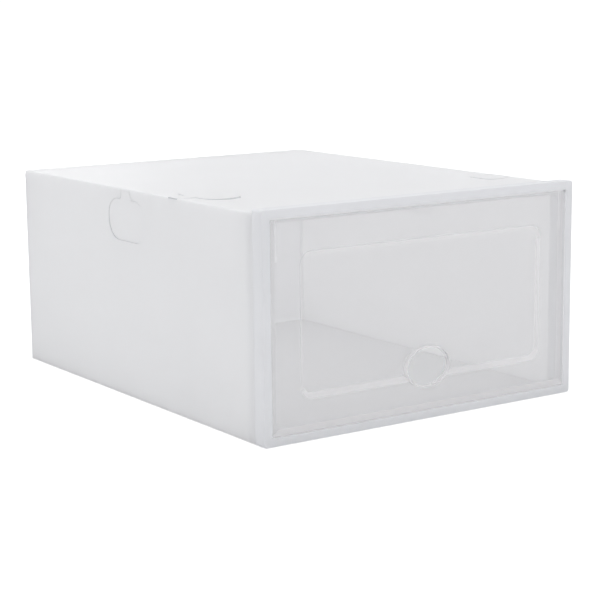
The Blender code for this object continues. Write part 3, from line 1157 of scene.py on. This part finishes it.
@dataclass(frozen=True)
class Softbox:
    """A square soft lamp that faces the box's middle, placed in metres."""

    name: str
    place: tuple
    size: float
    power: float

    def hang(self) -> None:
        """Add the lamp to the scene."""
        data = bpy.data.lights.new(self.name, "AREA")
        data.shape = "SQUARE"
        data.size = self.size
        data.energy = self.power
        lamp = bpy.data.objects.new(self.name, data)
        lamp.location = self.place
        aim = HEIGHT * MM / 2 * UPWARDS - Vector(self.place)
        lamp.rotation_euler = aim.to_track_quat("-Z", "Y").to_euler()
        bpy.context.scene.collection.objects.link(lamp)


@dataclass(frozen=True)
class Studio:
    """The photograph's camera, a pale floor and soft, plain light."""

    focal_pixels: float = 1720.5
    picture_pixels: float = 600.0
    sensor: float = 36.0
    turn: float = 0.5991
    tilt: float = 0.1819
    roll: float = -0.0106
    eye: tuple = (-507.1, -779.1, 255.4)
    floor_size: float = 60.0
    floor_drop: float = 0.0003
    floor_tone: float = 0.96
    floor_lift: float = 0.42
    sky_tint: Colour = (0.985, 0.988, 1.0)
    sky_light: float = 0.75
    sky_lean: tuple = (0.20, 0.0, 0.12)
    lamps: tuple = (
        Softbox("overhead_softbox", (0.0, -0.15, 1.35), size=0.9, power=5.6),
        Softbox("front_softbox", (0.6, -1.5, 0.30), size=1.0, power=1.4),
        Softbox("back_softbox", (0.15, 1.6, 0.25), size=1.2, power=9.0))

    def camera(self) -> None:
        """Stand the camera where the photograph was taken from."""
        data = bpy.data.cameras.new("photo_camera")
        data.sensor_fit = "HORIZONTAL"
        data.sensor_width = self.sensor
        data.lens = self.focal_pixels / self.picture_pixels * self.sensor
        data.clip_start = 0.01
        data.clip_end = 200.0
        camera = bpy.data.objects.new("photo_camera", data)
        turn = (Matrix.Rotation(-self.turn, 4, "Z") @ Matrix.Rotation(-self.tilt, 4, "X")
                @ Matrix.Rotation(-self.roll, 4, "Y")
                @ Matrix.Rotation(math.pi / 2, 4, "X"))
        corner = Vector((-HALF_WIDTH, FRONT_Y, 0.0))
        camera.matrix_world = Matrix.Translation((corner + Vector(self.eye)) * MM) @ turn
        bpy.context.scene.collection.objects.link(camera)
        bpy.context.scene.camera = camera

    def floor(self) -> None:
        """Lay a pale floor that still takes the box's shadow."""
        bm = bmesh.new()
        bmesh.ops.create_grid(bm, x_segments=1, y_segments=1, size=self.floor_size / 2)
        mesh = bpy.data.meshes.new("studio_floor")
        bm.to_mesh(mesh)
        bm.free()
        graph = NodeGraph(bpy.data.materials.new("studio_floor_finish"))
        paint = graph.add("BsdfDiffuse", Color=(*[self.floor_tone] * 3, 1.0))
        lift = graph.add("Emission", Color=(1.0, 1.0, 1.0, 1.0), Strength=self.floor_lift)
        dark = graph.add("Emission", Color=(0.0, 0.0, 0.0, 1.0), Strength=0.0)
        rays = graph.add("LightPath")
        seen = graph.mix(rays.outputs["Is Camera Ray"], dark.outputs[0], lift.outputs[0])
        total = graph.add("AddShader")
        graph.feed(total.inputs[0], paint.outputs[0])
        graph.feed(total.inputs[1], seen)
        mesh.materials.append(graph.finish(total.outputs[0]))
        floor = bpy.data.objects.new("studio_floor", mesh)
        floor.location.z = -self.floor_drop
        bpy.context.scene.collection.objects.link(floor)

    def sky(self) -> None:
        """Light the room evenly, a little less from the right and from above.

        The camera, gloss and clear plastic see plain white instead.
        """
        world = bpy.data.worlds.new("studio_world")
        graph = NodeGraph(world)
        lean = graph.dot(graph.direction, self.sky_lean)
        level = graph.math("MULTIPLY_ADD", lean, -self.sky_light, self.sky_light)
        light = graph.add("Background", Color=(*self.sky_tint, 1.0), Strength=level)
        white = graph.add("Background", Color=(1.0, 1.0, 1.0, 1.0), Strength=1.0)
        rays = graph.add("LightPath")
        seen = graph.math("MAXIMUM", rays.outputs["Is Camera Ray"],
                          rays.outputs["Is Glossy Ray"])
        through = graph.math("MAXIMUM", seen, rays.outputs["Is Transmission Ray"])
        graph.finish(graph.mix(through, light.outputs[0], white.outputs[0]))
        bpy.context.scene.world = world

    def build(self) -> None:
        """Set up the camera, the floor and the light."""
        self.camera()
        self.floor()
        self.sky()
        for lamp in self.lamps:
            lamp.hang()
        bpy.context.scene.view_settings.view_transform = "Standard"


def link_tabs() -> list[LinkTab]:
    """The four keyhole tabs, with the sheet's own give in their lifts."""
    return [
        LinkTab("left_wall_tab", Side.LEFT, depth=155.0, neck=6.0, lift=-0.45,
                in_top=False),
        LinkTab("right_wall_tab", Side.RIGHT, depth=155.0, neck=6.0, lift=0.0,
                in_top=False, cut_gap=0.08),
        LinkTab("top_left_tab", Side.LEFT, depth=97.0, neck=12.5, lift=1.1,
                in_top=True),
        LinkTab("top_right_tab", Side.RIGHT, depth=64.5, neck=4.5, lift=0.2,
                in_top=True, shape=SMALL_KEYHOLE, cut_gap=0.12),
    ]


def main() -> None:
    """Build the studio and every sub-assembly in order."""
    logging.basicConfig(level=logging.INFO, format="%(name)s: %(message)s")
    Studio().build()
    sheet = SHEET_FINISH.material()
    cut = CUT_EDGE_SHADE_FINISH.material()

    tabs = link_tabs()
    SheetTube().build(sheet, cut, BACKED_LIT_FINISH.material(), tabs)
    for tab in tabs:
        tab.build(sheet, cut)
    door = ClearDoor()
    FrontFrame().build(FRAME_FINISH.material(), THIN_LIT_FINISH.material(),
                       LIT_LIP_FINISH.material(), door)
    door.build(DoorFinish().material())
    BackClosure().build(sheet, cut)
    flap = FLAP_FINISH.material()
    for side in Side:
        DustFlap(side).build(flap)
    seam_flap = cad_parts["seam_flap"]
    seam_flap.data.materials.clear()
    seam_flap.data.materials.append(sheet)


if __name__ == "__main__":
    main()
